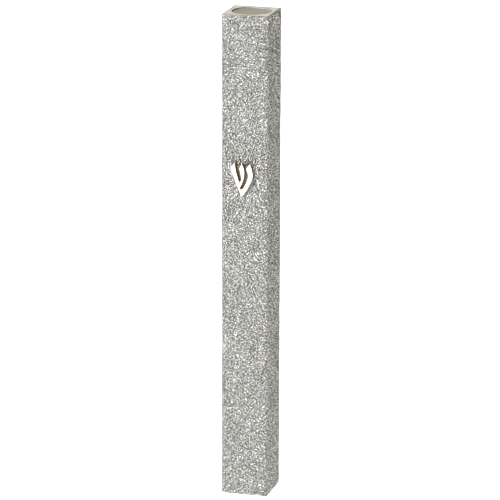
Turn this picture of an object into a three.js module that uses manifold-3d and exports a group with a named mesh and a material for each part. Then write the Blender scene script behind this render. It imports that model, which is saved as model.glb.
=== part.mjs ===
// Mezuzah case: a square aluminium tube with a round bore, dressed in glitter film. A ribbed silicone
// plug stops each end, a polished letter Shin is glued to the front, and a rolled parchment stands in
// the bore on the lower plug.
//
// Millimetres, +Z up along the case. The origin is the centre of the mounting tape's outer face, which
// lies on the doorpost. The decorated front faces -Y, and +X is to the right of someone facing it.

import * as THREE from 'three';
import { mergeVertices } from 'three/addons/utils/BufferGeometryUtils.js';
import Module from 'manifold-3d';

// ---- Parchment and its sleeve ----
const PARCHMENT_HEIGHT = 120;
const PARCHMENT_WIDTH = 120; // along the roll
const PARCHMENT_THICKNESS = 0.2;
const ROLL_CORE_RADIUS = 1.6;
const SLEEVE_THICKNESS = 0.1;
const SLEEVE_TURNS = 1.15;
const SLEEVE_LOOSENESS = 0.1; // between the roll and the sleeve, and between the sleeve's layers
const SLEEVE_SETBACK = 1.5; // parchment left bare at each end of the roll
const SCROLL_BORE_CLEARANCE = 0.8; // radial, between the sleeve and the bore
const SCROLL_PLAY = 9.4; // free room above the roll, under the upper plug

// ---- Plugs ----
const PLUG_LENGTH = 11;
const PLUG_RECESS = 0.3; // plug face below the end of the tube
const PLUG_BORE_CLEARANCE = 0.05; // radial, at the ribs
const RIB_COUNT = 3;
const RIB_HEIGHT = 0.4;
const RIB_SPACING = 2.8;
const FIRST_RIB_DEPTH = 1.8; // from the plug's face to the middle of the first rib
const LIP_ROUNDING = 0.2;
const LIP_WIDTH = 0.7;
const DISH_DEPTH = 0.12;
const LEAD_IN = 0.8; // taper at the inner end
const HOLLOW_RADIUS = 2.6;
const HOLLOW_DEPTH = 4.5;

// ---- Tube ----
const BORE_DIAMETER = 12;
const TUBE_WALL = 1.1; // at its thinnest, in the middle of each side
const TUBE_CORNER_RADIUS = 0.4;
const TUBE_END_CHAMFER = 0.15;
const BORE_MOUTH_CHAMFER = 0.2;

// ---- Glitter film ----
const FILM_THICKNESS = 0.35;
const FILM_GLUE_GAP = 0.05;
const FILM_SEAM_GAP = 0.3; // butt joint down the middle of the back
const FILM_SETBACK = 0.05; // film edge below each end of the tube

// ---- Letter and its adhesive ----
const LETTER_HEIGHT = 10.7;
const LETTER_THICKNESS = 1.1;
const LETTER_DROP = 50.5; // from the top of the tube to the middle of the letter
const LETTER_SIDE_OFFSET = -0.6; // from the middle line of the front
const ADHESIVE_THICKNESS = 0.1;

// ---- Mounting tape ----
const TAPE_THICKNESS = 1;
const TAPE_SIDE_MARGIN = 2.5;
const TAPE_END_MARGIN = 6;
const TAPE_CORNER_RADIUS = 0.8;

// ---- How finely round things are cut ----
const BORE_SEGMENTS = 96;
const PLUG_SEGMENTS = 48;
const ROLL_STEPS_PER_TURN = 28;
const SLEEVE_STEPS_PER_TURN = 60;
const CORNER_DIVISIONS = 3;
const RIB_STEPS = 4;
const LIP_STEPS = 3;
const LETTER_CURVE_STEPS = 6;
const CUTTER_OVERRUN = 1; // how far a cutter passes the face that it opens
const MERGE_DISTANCE = 1e-4;

// ---- Sizes that follow ----
const boreRadius = BORE_DIAMETER / 2;
const tubeWidth = BORE_DIAMETER + 2 * TUBE_WALL;
const filmInnerWidth = tubeWidth + 2 * FILM_GLUE_GAP;
const caseWidth = filmInnerWidth + 2 * FILM_THICKNESS;
const filmInnerRadius = TUBE_CORNER_RADIUS + FILM_GLUE_GAP;
const filmOuterRadius = filmInnerRadius + FILM_THICKNESS;
const plugSpan = PLUG_RECESS + PLUG_LENGTH;
const caseLength = PARCHMENT_HEIGHT + SCROLL_PLAY + 2 * plugSpan;
const topEnd = caseLength / 2;
const bottomEnd = -topEnd;
const caseAxisY = -(TAPE_THICKNESS + caseWidth / 2);
const frontFaceY = -(TAPE_THICKNESS + caseWidth);
const plugRibRadius = boreRadius - PLUG_BORE_CLEARANCE;
const plugCoreRadius = plugRibRadius - RIB_HEIGHT;
const sleevePitch = SLEEVE_THICKNESS + SLEEVE_LOOSENESS;
const sleeveOuterRadius = boreRadius - SCROLL_BORE_CLEARANCE;
const sleeveInnerRadius = sleeveOuterRadius - SLEEVE_THICKNESS - sleevePitch * SLEEVE_TURNS;
const rollOuterRadius = sleeveInnerRadius - SLEEVE_LOOSENESS;
const scrollFootZ = bottomEnd + plugSpan;

const QUARTER_TURN = Math.PI / 2;
const FULL_TURN = 2 * Math.PI;

const wasm = await Module();
wasm.setup();

// ---- Helpers ----

// A closed geometry as a solid that can be cut.
function toSolid(geometry) {
  const bare = geometry.clone();
  bare.deleteAttribute('normal');
  bare.deleteAttribute('uv');
  const merged = mergeVertices(bare, MERGE_DISTANCE);
  return new wasm.Manifold(new wasm.Mesh({
    numProp: 3,
    vertProperties: merged.attributes.position.array,
    triVerts: new Uint32Array(merged.index.array),
  }));
}

// A cut solid as a geometry again.
function toGeometry(solid) {
  const mesh = solid.getMesh();
  const geometry = new THREE.BufferGeometry();
  geometry.setAttribute('position', new THREE.BufferAttribute(mesh.vertProperties, 3));
  geometry.setIndex(new THREE.BufferAttribute(mesh.triVerts, 1));
  geometry.computeVertexNormals();
  return geometry;
}

// A profile of [radius, height] pairs turned about the Z axis.
function turned(profile, segments) {
  const points = profile.map(([radius, height]) => new THREE.Vector2(radius, height));
  return new THREE.LatheGeometry(points, segments).rotateX(QUARTER_TURN);
}

// A flat shape drawn in the X and Z directions, raised towards -Y.
function raisedForward(shape, options) {
  return new THREE.ExtrudeGeometry(shape, options).rotateX(QUARTER_TURN);
}

// The outline of a square with rounded corners, walked clockwise from the middle of its +Y side. A gap
// leaves a slit there.
function roundedSquare(width, radius, gap = 0) {
  const half = width / 2;
  const inner = half - radius;
  const path = new THREE.Path();
  path.moveTo(gap / 2, half);
  path.lineTo(inner, half);
  path.absarc(inner, inner, radius, QUARTER_TURN, 0, true);
  path.absarc(inner, -inner, radius, 0, -QUARTER_TURN, true);
  path.absarc(-inner, -inner, radius, -QUARTER_TURN, -Math.PI, true);
  path.absarc(-inner, inner, radius, Math.PI, QUARTER_TURN, true);
  path.lineTo(-gap / 2, half);
  return path.getPoints(CORNER_DIVISIONS);
}

// The section of a sheet rolled up from one radius to another, both to the middle of its thickness.
function rolledSheet(startRadius, endRadius, turns, thickness, stepsPerTurn) {
  const outside = [];
  const inside = [];
  const steps = Math.ceil(turns * stepsPerTurn);
  for (let step = 0; step <= steps; step += 1) {
    const turn = Math.min(step / stepsPerTurn, turns);
    const radius = startRadius + (endRadius - startRadius) * (turn / turns);
    const angle = turn * FULL_TURN;
    const direction = new THREE.Vector2(Math.cos(angle), Math.sin(angle));
    outside.push(direction.clone().multiplyScalar(radius + thickness / 2));
    inside.push(direction.clone().multiplyScalar(radius - thickness / 2));
  }
  return new THREE.Shape([...outside, ...inside.reverse()]);
}

function named(name, geometry, material) {
  const mesh = new THREE.Mesh(geometry, material);
  mesh.name = name;
  return mesh;
}

// ---- Parts ----

// The extruded tube: square outside, round bore, with its sharp edges broken at both ends.
function caseTube() {
  const bar = new THREE.ExtrudeGeometry(
    new THREE.Shape(roundedSquare(tubeWidth, TUBE_CORNER_RADIUS)),
    {
      depth: caseLength - 2 * TUBE_END_CHAMFER,
      bevelThickness: TUBE_END_CHAMFER,
      bevelSize: TUBE_END_CHAMFER,
      bevelOffset: -TUBE_END_CHAMFER,
      bevelSegments: 1,
    },
  );
  bar.translate(0, 0, bottomEnd + TUBE_END_CHAMFER);
  const mouthRadius = boreRadius + BORE_MOUTH_CHAMFER + CUTTER_OVERRUN;
  const bore = turned(
    [
      [0, bottomEnd - CUTTER_OVERRUN],
      [mouthRadius, bottomEnd - CUTTER_OVERRUN],
      [boreRadius, bottomEnd + BORE_MOUTH_CHAMFER],
      [boreRadius, topEnd - BORE_MOUTH_CHAMFER],
      [mouthRadius, topEnd + CUTTER_OVERRUN],
      [0, topEnd + CUTTER_OVERRUN],
    ],
    BORE_SEGMENTS,
  );
  const material = new THREE.MeshStandardMaterial({ color: 0xc4c1b9, roughness: 0.38, metalness: 0.9 });
  return named('case_tube', toGeometry(toSolid(bar).subtract(toSolid(bore))), material);
}

// The glitter film, bent round the tube with its two edges meeting down the back.
function glitterWrap() {
  const outside = roundedSquare(caseWidth, filmOuterRadius, FILM_SEAM_GAP);
  const inside = roundedSquare(filmInnerWidth, filmInnerRadius, FILM_SEAM_GAP);
  const film = new THREE.ExtrudeGeometry(new THREE.Shape([...outside, ...inside.reverse()]), {
    depth: caseLength - 2 * FILM_SETBACK,
    bevelEnabled: false,
  });
  film.translate(0, 0, bottomEnd + FILM_SETBACK);
  const material = new THREE.MeshStandardMaterial({ color: 0xb3b3af, roughness: 0.55, metalness: 0.4 });
  return named('glitter_wrap', film, material);
}

// A plug with its face at height 0 and its body below: dished face, rounded lip, sealing ribs, tapered
// inner end and a blind hollow that lets the ribs give.
function plugGeometry() {
  const lipRadius = plugCoreRadius + RIB_HEIGHT / 2;
  const dishRadius = lipRadius - LIP_ROUNDING - LIP_WIDTH;
  const profile = [
    [0, -DISH_DEPTH],
    [dishRadius - DISH_DEPTH, -DISH_DEPTH],
    [dishRadius, 0],
  ];
  for (let step = 0; step <= LIP_STEPS; step += 1) {
    const angle = QUARTER_TURN * (step / LIP_STEPS);
    profile.push([
      lipRadius - LIP_ROUNDING * (1 - Math.sin(angle)),
      -LIP_ROUNDING * (1 - Math.cos(angle)),
    ]);
  }
  profile.push([lipRadius, -LIP_ROUNDING - RIB_HEIGHT]);
  for (let rib = 0; rib < RIB_COUNT; rib += 1) {
    const middle = -(FIRST_RIB_DEPTH + rib * RIB_SPACING);
    for (let step = 0; step <= RIB_STEPS; step += 1) {
      const angle = Math.PI * (step / RIB_STEPS);
      profile.push([
        plugCoreRadius + RIB_HEIGHT * Math.sin(angle),
        middle + RIB_HEIGHT * Math.cos(angle),
      ]);
    }
  }
  profile.push(
    [plugCoreRadius, -PLUG_LENGTH + LEAD_IN],
    [plugCoreRadius - LEAD_IN, -PLUG_LENGTH],
    [HOLLOW_RADIUS, -PLUG_LENGTH],
    [HOLLOW_RADIUS, -PLUG_LENGTH + HOLLOW_DEPTH],
    [0, -PLUG_LENGTH + HOLLOW_DEPTH + HOLLOW_RADIUS / 2],
  );
  return turned(profile.reverse(), PLUG_SEGMENTS);
}

function plug(name) {
  const material = new THREE.MeshStandardMaterial({ color: 0x9b988f, roughness: 0.5, metalness: 0 });
  return named(name, plugGeometry(), material);
}

// Upper plug, its face up.
function topPlug() {
  const mesh = plug('top_plug');
  mesh.position.z = topEnd - PLUG_RECESS;
  return mesh;
}

// Lower plug, the same moulding turned over.
function bottomPlug() {
  const mesh = plug('bottom_plug');
  mesh.rotation.x = Math.PI;
  mesh.position.z = bottomEnd + PLUG_RECESS;
  return mesh;
}

// The letter Shin: three prongs with slanted heads that meet in a point. Its outline is drawn in
// hundredths of the letter's height, about the middle of the letter, from the point and up the left.
function letterOutline() {
  const outline = new THREE.Path();
  outline.moveTo(-1.5, -47.5);
  outline.quadraticCurveTo(-17.8, -9.5, -32.5, 30);
  outline.quadraticCurveTo(-33.5, 33.5, -31, 36.5); // head of the left prong
  outline.lineTo(-23, 47.5);
  outline.quadraticCurveTo(-20.3, 52, -19.6, 47);
  outline.quadraticCurveTo(-17.5, 24.5, -9.7, 3.3);
  outline.quadraticCurveTo(-8.3, -5.5, -5.5, -5.9); // foot of the left gap
  outline.quadraticCurveTo(-2, -5.9, -1.5, 0.7);
  outline.quadraticCurveTo(-2.6, 17, -6.6, 30);
  outline.quadraticCurveTo(-7.3, 33.3, -5.5, 36); // head of the middle prong
  outline.lineTo(-0.6, 45.5);
  outline.quadraticCurveTo(0.6, 47.8, 1.8, 45.5);
  outline.quadraticCurveTo(8.6, 34, 8.5, 19);
  outline.quadraticCurveTo(8.5, 2, -0.6, -16.2);
  outline.lineTo(-3.6, -21.5);
  outline.quadraticCurveTo(-6, -28, 0.2, -28); // foot of the right gap
  outline.quadraticCurveTo(4.5, -28, 6.2, -22);
  outline.quadraticCurveTo(18.3, -2, 18.9, 11);
  outline.quadraticCurveTo(18.5, 20, 13.6, 29);
  outline.quadraticCurveTo(12.4, 31.5, 14, 34); // head of the right prong
  outline.lineTo(23, 47.5);
  outline.quadraticCurveTo(25, 52, 26.5, 47);
  outline.quadraticCurveTo(30.5, 33.5, 33, 18);
  outline.quadraticCurveTo(34.3, 5.5, 27.5, -6.5);
  outline.quadraticCurveTo(17.5, -31, 2.2, -48);
  outline.quadraticCurveTo(0.3, -51, -1.5, -47.5);
  return outline.getPoints(LETTER_CURVE_STEPS);
}

// The outline of the pad behind the letter, a plain V that stays under its outer prongs, in the same
// units as the letter.
function adhesiveOutline() {
  return [
    [0, -44],
    [-9, -25],
    [-29, 29],
    [-24, 38],
    [-12, -1],
    [-6, -22],
    [1, -33],
    [9, -22],
    [17, -7],
    [22, 12],
    [18.5, 31],
    [24.5, 40.5],
    [30, 11],
    [24.5, -6.5],
    [14, -28],
  ].map(([x, z]) => new THREE.Vector2(x, z));
}

// An outline drawn in hundredths of the letter's height as a full-size shape.
function letterScaleShape(outline) {
  return new THREE.Shape(outline.map((point) => point.clone().multiplyScalar(LETTER_HEIGHT / 100)));
}

function placeOnFront(mesh, backY) {
  mesh.position.set(LETTER_SIDE_OFFSET, backY, topEnd - LETTER_DROP);
  return mesh;
}

// The polished letter, a flat casting.
function shinEmblem() {
  const geometry = raisedForward(letterScaleShape(letterOutline()), {
    depth: LETTER_THICKNESS,
    bevelEnabled: false,
  });
  const material = new THREE.MeshStandardMaterial({ color: 0xf2efec, roughness: 0.12, metalness: 1 });
  return placeOnFront(named('shin_emblem', geometry, material), frontFaceY - ADHESIVE_THICKNESS);
}

// The thin pad that holds the letter to the film.
function emblemAdhesive() {
  const geometry = raisedForward(letterScaleShape(adhesiveOutline()), {
    depth: ADHESIVE_THICKNESS,
    bevelEnabled: false,
  });
  const material = new THREE.MeshStandardMaterial({ color: 0x9c8e78, roughness: 0.7, metalness: 0 });
  return placeOnFront(named('emblem_adhesive', geometry, material), frontFaceY);
}

// The parchment: as many turns as its width makes between the core and the sleeve.
function parchmentScroll() {
  const startRadius = ROLL_CORE_RADIUS + PARCHMENT_THICKNESS / 2;
  const endRadius = rollOuterRadius - PARCHMENT_THICKNESS / 2;
  const turns = PARCHMENT_WIDTH / (Math.PI * (startRadius + endRadius));
  const section = rolledSheet(startRadius, endRadius, turns, PARCHMENT_THICKNESS, ROLL_STEPS_PER_TURN);
  const geometry = new THREE.ExtrudeGeometry(section, { depth: PARCHMENT_HEIGHT, bevelEnabled: false });
  const material = new THREE.MeshStandardMaterial({ color: 0xe4d6b4, roughness: 0.8, metalness: 0 });
  const mesh = named('parchment_scroll', geometry, material);
  mesh.position.z = scrollFootZ;
  return mesh;
}

// The clear sleeve round the parchment, a little shorter than it and lapped over itself.
function scrollSleeve() {
  const startRadius = sleeveInnerRadius + SLEEVE_THICKNESS / 2;
  const endRadius = startRadius + sleevePitch * SLEEVE_TURNS;
  const section = rolledSheet(startRadius, endRadius, SLEEVE_TURNS, SLEEVE_THICKNESS, SLEEVE_STEPS_PER_TURN);
  const geometry = new THREE.ExtrudeGeometry(section, {
    depth: PARCHMENT_HEIGHT - 2 * SLEEVE_SETBACK,
    bevelEnabled: false,
  });
  const material = new THREE.MeshStandardMaterial({
    color: 0xeef2f2,
    roughness: 0.15,
    metalness: 0,
    transparent: true,
    opacity: 0.35,
  });
  const mesh = named('scroll_sleeve', geometry, material);
  mesh.position.z = scrollFootZ + SLEEVE_SETBACK;
  return mesh;
}

// The double-sided foam strip on the back, its outer face on the plane of the doorpost.
function mountTape() {
  const halfWidth = caseWidth / 2 - TAPE_SIDE_MARGIN;
  const halfLength = caseLength / 2 - TAPE_END_MARGIN;
  const innerX = halfWidth - TAPE_CORNER_RADIUS;
  const innerZ = halfLength - TAPE_CORNER_RADIUS;
  const strip = new THREE.Shape();
  strip.moveTo(innerX, halfLength);
  strip.absarc(innerX, innerZ, TAPE_CORNER_RADIUS, QUARTER_TURN, 0, true);
  strip.absarc(innerX, -innerZ, TAPE_CORNER_RADIUS, 0, -QUARTER_TURN, true);
  strip.absarc(-innerX, -innerZ, TAPE_CORNER_RADIUS, -QUARTER_TURN, -Math.PI, true);
  strip.absarc(-innerX, innerZ, TAPE_CORNER_RADIUS, Math.PI, QUARTER_TURN, true);
  strip.closePath();
  const geometry = raisedForward(strip, {
    depth: TAPE_THICKNESS,
    bevelEnabled: false,
    curveSegments: CORNER_DIVISIONS,
  });
  const material = new THREE.MeshStandardMaterial({ color: 0xe9e8e3, roughness: 0.9, metalness: 0 });
  return named('mount_tape', geometry, material);
}

// ---- Assembly ----

// What lies on the axis of the bore.
const boreParts = new THREE.Group();
boreParts.position.y = caseAxisY;
boreParts.add(caseTube(), glitterWrap(), topPlug(), bottomPlug(), parchmentScroll(), scrollSleeve());

const mezuzahCase = new THREE.Group();
mezuzahCase.name = 'mezuzah_case';
mezuzahCase.add(boreParts, shinEmblem(), emblemAdhesive(), mountTape());

export default mezuzahCase;
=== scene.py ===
"""Looks for a mezuzah case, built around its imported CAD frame.

The case is a square aluminium tube under a skin of silver glitter film, with a silicone plug in each end,
a polished letter on the front, a rolled parchment inside and a strip of foam tape behind. Each
sub-assembly is a class with its sizes as fields, in metres, and each finish is a frozen dataclass.
"""

import logging
import math
from collections.abc import Sequence
from dataclasses import dataclass
from enum import Enum
from functools import cache

import bmesh
import bpy
from mathutils import Matrix, Vector
from mathutils.geometry import convex_hull_2d


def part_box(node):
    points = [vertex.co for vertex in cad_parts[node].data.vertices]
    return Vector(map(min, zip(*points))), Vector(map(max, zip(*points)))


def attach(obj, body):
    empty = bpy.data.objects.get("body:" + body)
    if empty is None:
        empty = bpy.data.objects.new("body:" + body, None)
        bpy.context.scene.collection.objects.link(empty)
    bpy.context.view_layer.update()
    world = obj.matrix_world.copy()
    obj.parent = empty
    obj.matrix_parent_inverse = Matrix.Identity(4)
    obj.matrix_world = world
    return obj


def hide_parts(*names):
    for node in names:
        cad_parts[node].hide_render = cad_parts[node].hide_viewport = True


Tree = bpy.types.NodeTree
Socket = bpy.types.NodeSocket
Sockets = bpy.types.bpy_prop_collection
Material = bpy.types.Material
Piece = bpy.types.Object
Shape = bmesh.types.BMesh
Ring = list[bmesh.types.BMVert]
Colour = tuple[float, float, float, float]
Span = tuple[float, float]

FLOAT, VECTOR, COLOUR = "NodeSocketFloat", "NodeSocketVector", "NodeSocketColor"
WHOLE, GEOMETRY, FINISH = "NodeSocketInt", "NodeSocketGeometry", "NodeSocketMaterial"

LOG = logging.getLogger("mezuzah_case")
FLAKE_PAINTED_REFLECTION = "flake_tone"
MM = 0.001
DOUBLES = 1e-7  # points nearer than this are one point
TOUCHING = 1e-6  # points nearer than this lie on one another, where single-precision sums moved them
JUST_OVER_HALF = 0.5001  # lifts a place on the slab clear of the rung that it would round down from
SIZE_DRAW, PAINTED_REFLECTION_DRAW = 100.0, 200.0  # added to a seed, so that size and tone are drawn on their own
ROLL_WAVES = (9.0, 0.0, 2.5)  # how many times a rolled sheet goes in and out along it and up it
FULL_TURN = 2 * math.pi
QUARTER_TURN = math.pi / 2

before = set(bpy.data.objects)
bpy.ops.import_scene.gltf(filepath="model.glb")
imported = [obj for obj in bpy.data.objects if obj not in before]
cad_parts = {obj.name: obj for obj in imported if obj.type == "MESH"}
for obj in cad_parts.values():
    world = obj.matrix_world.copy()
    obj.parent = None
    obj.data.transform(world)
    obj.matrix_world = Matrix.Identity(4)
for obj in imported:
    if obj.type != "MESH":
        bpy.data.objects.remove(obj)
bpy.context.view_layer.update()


# ---- Small tools -----------------------------------------------------------------------------------


def srgb(red: int, green: int, blue: int) -> Colour:
    """Turns a display colour into the linear colour that shaders read.

    Args:
        red: red from 0 to 255.
        green: green from 0 to 255.
        blue: blue from 0 to 255.

    Returns:
        The linear colour with an alpha of 1.
    """

    def linear(value: int) -> float:
        """Undoes the display curve for one channel."""
        share = value / 255
        return share / 12.92 if share <= 0.04045 else ((share + 0.055) / 1.055) ** 2.4

    return linear(red), linear(green), linear(blue), 1.0


class Wiring:
    """Adds nodes to one node tree and links them."""

    def __init__(self, tree: Tree) -> None:
        """Keeps the tree that is wired."""
        self.tree = tree

    def add(
        self, kind: str, *values: object, settings: dict[str, object] | None = None, **sockets: object
    ) -> bpy.types.Node:
        """Adds a node.

        Args:
            kind: the node's type name.
            values: a value, or an output to link, for each of the first inputs in turn.
            settings: the node's own properties.
            sockets: the same as values for inputs given by name, with _ for a space.

        Returns:
            The new node.
        """
        node = self.tree.nodes.new(kind)
        for key, value in (settings or {}).items():
            setattr(node, key, value)
        named = [(key.replace("_", " "), value) for key, value in sockets.items()]
        for key, value in [*enumerate(values), *named]:
            self.join(value, node.inputs[key])
        return node

    def first(self, kind: str, *values: object, **sockets: object) -> Socket:
        """Adds a node and returns its first output."""
        return self.add(kind, *values, **sockets).outputs[0]

    def join(self, value: object, socket: Socket) -> None:
        """Fills a socket.

        Args:
            value: an output to link, or the socket's own value.
            socket: the input that is filled.
        """
        if isinstance(value, Socket):
            self.tree.links.new(value, socket)
        else:
            socket.default_value = value

    def maths(self, operation: str, *terms: object) -> Socket:
        """Adds a Math node on the given terms and returns its value."""
        return self.first("ShaderNodeMath", *terms, settings={"operation": operation})

    def vector(self, operation: str, *terms: object) -> Socket:
        """Adds a Vector Math node on the given vectors and returns its vector."""
        return self.first("ShaderNodeVectorMath", *terms, settings={"operation": operation})

    def scaled(self, vector: object, scale: object) -> Socket:
        """Returns a vector times a number."""
        return self.first("ShaderNodeVectorMath", vector, settings={"operation": "SCALE"}, Scale=scale)

    def divided(self, vector: object, size: object) -> Socket:
        """Returns a vector measured in units of a size."""
        return self.scaled(vector, self.maths("DIVIDE", 1.0, size))

    def ranged(self, value: object, low: float, high: float, source: Span = (0.0, 1.0)) -> Socket:
        """Maps a value linearly and clamps it.

        Args:
            value: the value that is mapped.
            low: what the source's start becomes.
            high: what the source's end becomes.
            source: the values that are spread over low to high.

        Returns:
            The mapped value.
        """
        return self.first("ShaderNodeMapRange", value, *source, low, high)

    def blended(self, kind: str, share: object, first: object, second: object) -> Socket:
        """Mixes two values of one kind.

        Args:
            kind: FLOAT, VECTOR or RGBA.
            share: how much of the second there is, from 0 to 1.
            first: the value at a share of 0.
            second: the value at a share of 1.

        Returns:
            The mixed value.
        """
        start, output = {"FLOAT": (2, 0), "VECTOR": (4, 1), "RGBA": (6, 2)}[kind]
        node = self.add("ShaderNodeMix", share, settings={"data_type": kind})
        self.join(first, node.inputs[start])
        self.join(second, node.inputs[start + 1])
        return node.outputs[output]

    def mixed(self, share: object, first: object, second: object) -> Socket:
        """Returns a colour between two colours."""
        return self.blended("RGBA", share, first, second)


def new_group(
    name: str, kind: str, inputs: dict[str, tuple[str, object]], outputs: dict[str, str]
) -> tuple[Wiring, Sockets, Sockets]:
    """Starts a node group with named sockets.

    Args:
        name: the group's name.
        kind: the tree's type name.
        inputs: each input's name with its socket type and default, or None for no default.
        outputs: each output's name with its socket type.

    Returns:
        The wiring of the new tree, the inputs that it reads and the outputs that it fills.
    """
    tree = bpy.data.node_groups.new(name, kind)
    for label, (socket_type, default) in inputs.items():
        socket = tree.interface.new_socket(name=label, in_out="INPUT", socket_type=socket_type)
        if default is not None:
            socket.default_value = default
    for label, socket_type in outputs.items():
        tree.interface.new_socket(name=label, in_out="OUTPUT", socket_type=socket_type)
    wiring = Wiring(tree)
    return wiring, wiring.add("NodeGroupInput").outputs, wiring.add("NodeGroupOutput").inputs


def object_from_mesh(name: str, mesh: bpy.types.Mesh) -> Piece:
    """Puts a mesh into the scene as an object at the origin.

    Args:
        name: the object's name.
        mesh: its mesh.

    Returns:
        The new object.
    """
    made = bpy.data.objects.new(name, mesh)
    bpy.context.scene.collection.objects.link(made)
    return made


def object_from_bmesh(name: str, shape: Shape) -> Piece:
    """Turns a finished shape into an object at the origin and frees the shape.

    Args:
        name: the object's name.
        shape: the shape, whose doubles are merged and faces turned outwards.

    Returns:
        The new object.
    """
    bmesh.ops.remove_doubles(shape, verts=shape.verts, dist=DOUBLES)
    bmesh.ops.recalc_face_normals(shape, faces=shape.faces)
    mesh = bpy.data.meshes.new(name)
    shape.to_mesh(mesh)
    shape.free()
    return object_from_mesh(name, mesh)


def soften(piece: Piece, sharpest: float = math.radians(35)) -> None:
    """Shades a piece smoothly, with its sharp edges left sharp.

    Args:
        piece: the object.
        sharpest: the angle from which an edge is sharp.
    """
    for polygon in piece.data.polygons:
        polygon.use_smooth = True
    piece.data.set_sharp_from_angle(angle=sharpest)


def through_tree(piece: Piece, tree: Tree, values: dict[str, object]) -> Piece:
    """Runs a Geometry Nodes tree on a piece and keeps the result as its plain mesh.

    Args:
        piece: the object whose mesh is the tree's input.
        tree: the Geometry Nodes tree.
        values: a value for each of the tree's inputs, by name.

    Returns:
        The same object, with no modifier left.
    """
    modifier = piece.modifiers.new(tree.name, "NODES")
    modifier.node_group = tree
    for item in tree.interface.items_tree:
        if item.in_out == "INPUT" and item.name in values:
            modifier[item.identifier] = values[item.name]
    graph = bpy.context.evaluated_depsgraph_get()
    made = bpy.data.meshes.new_from_object(
        piece.evaluated_get(graph), preserve_all_data_layers=True, depsgraph=graph
    )
    piece.modifiers.clear()
    piece.data = made
    made.name = piece.name
    return piece


def settle(piece: Piece, body: str, replaced: Sequence[str] = ()) -> Piece:
    """Gives a finished piece its body and hides the CAD nodes it stands for.

    Args:
        piece: the finished object.
        body: the CAD body that it moves with.
        replaced: the CAD nodes that it is shown instead of.

    Returns:
        The same object.
    """
    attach(piece, body)
    if replaced:
        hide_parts(*replaced)
    return piece


# ---- Shader node groups ----------------------------------------------------------------------------


def noise_group(name: str, detail: float, roughness: float, span: Span) -> Tree:
    """Builds a group of stretched noise: a value from 0 to 1 and the normal that it raises.

    Args:
        name: the group's name.
        detail: how many finer layers the noise has.
        roughness: how strong those are.
        span: the noise's values that become 0 and 1.

    Returns:
        The group's tree.
    """
    wiring, given, result = new_group(
        name,
        "ShaderNodeTree",
        {
            "Vector": (VECTOR, None),
            "Size": (FLOAT, MM),
            "Stretch": (VECTOR, (1.0, 1.0, 1.0)),
            "Relief": (FLOAT, 0.1),
        },
        {"Value": FLOAT, "Normal": VECTOR},
    )
    size = given["Size"]
    place = wiring.vector("MULTIPLY", wiring.divided(given["Vector"], size), given["Stretch"])
    noise = wiring.first(
        "ShaderNodeTexNoise", Vector=place, Scale=1.0, Detail=detail, Roughness=roughness
    )
    bump = wiring.first("ShaderNodeBump", Strength=given["Relief"], Distance=size, Height=noise)
    wiring.join(wiring.ranged(noise, 0.0, 1.0, span), result["Value"])
    wiring.join(bump, result["Normal"])
    return wiring.tree


@cache
def grain_group() -> Tree:
    """Returns the group of fine uneven grain."""
    return noise_group("fine_grain", 4.0, 0.6, (0.25, 0.75))


@cache
def streak_group() -> Tree:
    """Returns the group of long fine streaks, as drawing, sawing or polishing leaves them."""
    return noise_group("tool_streaks", 3.0, 0.55, (0.3, 0.7))


@cache
def dust_group() -> Tree:
    """Builds the group of sparse pale specks over a colour.

    Returns:
        The group's tree.
    """
    wiring, given, result = new_group(
        "dust_specks",
        "ShaderNodeTree",
        {
            "Vector": (VECTOR, None),
            "Color": (COLOUR, (0.5, 0.5, 0.5, 1.0)),
            "Dust": (COLOUR, (0.7, 0.68, 0.64, 1.0)),
            "Spacing": (FLOAT, MM),
            "Amount": (FLOAT, 0.5),
        },
        {"Color": COLOUR, "Mask": FLOAT},
    )
    place = wiring.divided(given["Vector"], given["Spacing"])
    cells = wiring.add("ShaderNodeTexVoronoi", Vector=place, Scale=1.0).outputs
    specks = wiring.ranged(cells["Distance"], 1.0, 0.0, (0.05, 0.12))
    chance = wiring.first("ShaderNodeSeparateColor", cells["Color"])
    mask = wiring.maths("MULTIPLY", specks, wiring.maths("LESS_THAN", chance, given["Amount"]))
    wiring.join(wiring.mixed(mask, given["Color"], given["Dust"]), result["Color"])
    wiring.join(mask, result["Mask"])
    return wiring.tree


@cache
def flake_group() -> Tree:
    """Builds a field of flakes: a random tone per flake for painted reflection, a sheen, a tilt, and a
    mask of the gaps between them for painted shade.

    Returns:
        The group's tree.
    """
    wiring, given, result = new_group(
        "flake_field",
        "ShaderNodeTree",
        {"Vector": (VECTOR, None), "Flake Size": (FLOAT, 0.25 * MM), "Tilt": (FLOAT, 0.4)},
        {"Tone": FLOAT, "Sheen": FLOAT, "Gap": FLOAT, "Normal": VECTOR},
    )
    place = wiring.divided(given["Vector"], given["Flake Size"])
    cells = wiring.add("ShaderNodeTexVoronoi", Vector=place, Scale=1.0).outputs
    to_edge = {"feature": "DISTANCE_TO_EDGE"}
    edges = wiring.first("ShaderNodeTexVoronoi", settings=to_edge, Vector=place, Scale=1.0)
    parts = wiring.add("ShaderNodeSeparateColor", cells["Color"]).outputs
    lean = wiring.vector("SUBTRACT", cells["Color"], (0.5, 0.5, 0.5))
    surface = wiring.add("ShaderNodeNewGeometry").outputs["Normal"]
    leaning = wiring.vector("ADD", surface, wiring.scaled(lean, given["Tilt"]))
    wiring.join(parts[0], result["Tone"])
    wiring.join(parts[1], result["Sheen"])
    # The gap mask, 1 along the flakes' edges, says where the film paints shade between them.
    wiring.join(wiring.ranged(edges, 1.0, 0.0, (0.0, 0.08)), result["Gap"])
    wiring.join(wiring.vector("NORMALIZE", leaning), result["Normal"])
    return wiring.tree


# ---- Finishes --------------------------------------------------------------------------------------


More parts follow.
